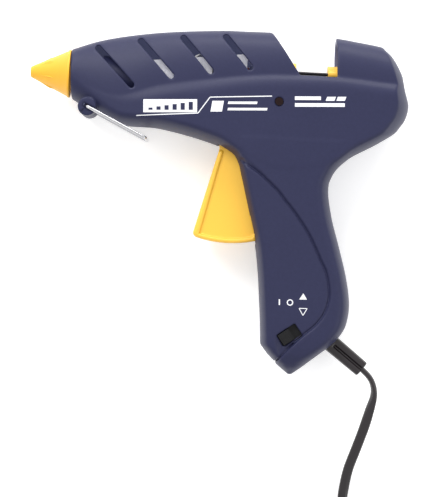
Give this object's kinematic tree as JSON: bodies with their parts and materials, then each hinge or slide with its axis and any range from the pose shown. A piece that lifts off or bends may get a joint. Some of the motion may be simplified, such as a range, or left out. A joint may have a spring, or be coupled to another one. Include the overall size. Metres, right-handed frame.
{
  "type": "hot-melt glue gun",
  "caption": "Corded trigger-fed hot-melt glue gun with slotted barrel housing, stick inlet at the rear, wire stand and coiled lead.",
  "frame": {"origin": "under the middle of the gun's box without its lead, on the surface it lies on", "axes": "+X from the nozzle to the stick inlet, along the barrel; +Y from the grip's butt to the top of the barrel; +Z from the right side to the left side"},
  "size_m": [0.2005, 0.3435, 0.0382],
  "materials": {
    "body_plastic": "fine spark-eroded texture",
    "yellow_plastic": "smooth moulded",
    "dark_plastic": "moulded",
    "lead_rubber": "smooth sheath",
    "aluminium_cast": "as cast",
    "steel": "bright drawn",
    "brass": "turned",
    "ceramic": "fired",
    "silicone": "smooth",
    "lens_red": "tinted",
    "lamp_glass": "clear",
    "nickel": "plated"
  },
  "bodies": {
    "housing": {"housing_left": "body_plastic", "housing_right": "body_plastic", "nozzle_cap": "yellow_plastic", "nozzle": "brass", "melt_chamber": "aluminium_cast", "heater": "ceramic", "heater_clip": "steel", "front_support": "dark_plastic", "rear_support": "dark_plastic", "inlet_sleeve": "silicone", "sleeve_clamp": "steel", "front_guide": "yellow_plastic", "guide_rods": "steel", "rear_guide": "dark_plastic", "return_spring": "steel", "trigger_pin": "steel", "indicator_lens": "lens_red", "indicator_lamp": "lamp_glass", "switch_body": "dark_plastic", "housing_screws": "steel", "strain_relief": "lead_rubber", "cord_clamp": "dark_plastic", "clamp_screws": "steel", "inner_leads": "silicone", "cord_tube": "lead_rubber", "cord_coil": "lead_rubber", "cord_tail": "lead_rubber", "cord_tie": "dark_plastic", "plug_body": "lead_rubber", "plug_pins": "nickel"},
    "trigger": {"trigger": "yellow_plastic"},
    "carriage": {"feed_carriage": "yellow_plastic", "jaw_pin": "steel"},
    "jaw": {"clamp_jaw": "steel"},
    "stand": {"wire_stand": "steel"},
    "slider": {"switch_slider": "dark_plastic"}
  },
  "joints": [
    {"name": "trigger_pull", "type": "hinge", "parent": "housing", "child": "trigger", "pos_m": [0.0082, 0.038, 0.019], "axis": [0, 0, 1], "range_deg": [0, 19.8], "stiffness_Nm_per_rad": 0.3, "springref_deg": -11.46},
    {"name": "carriage_feed", "type": "slide", "parent": "housing", "child": "carriage", "axis": [-1, 0, 0], "range_m": [0, 0.00875], "deforming": ["return_spring"]},
    {"name": "jaw_grip", "type": "hinge", "parent": "carriage", "child": "jaw", "pos_m": [0.062, 0.0485, 0.019], "axis": [0, 0, -1], "range_deg": [0, 12.5]},
    {"name": "stand_swing", "type": "hinge", "parent": "housing", "child": "stand", "pos_m": [-0.0688, 0.0449, 0.019], "axis": [0, 0, -1], "range_deg": [-7, 100]},
    {"name": "switch_slide", "type": "slide", "parent": "housing", "child": "slider", "axis": [0.7986, 0.6018, 0], "range_m": [0, 0.004]}
  ],
  "couplings": [
    {"joint": "carriage_feed", "follows": "trigger_pull", "m_per_rad": 0.024747},
    {"joint": "jaw_grip", "follows": "trigger_pull", "ratio": 0.60606}
  ]
}
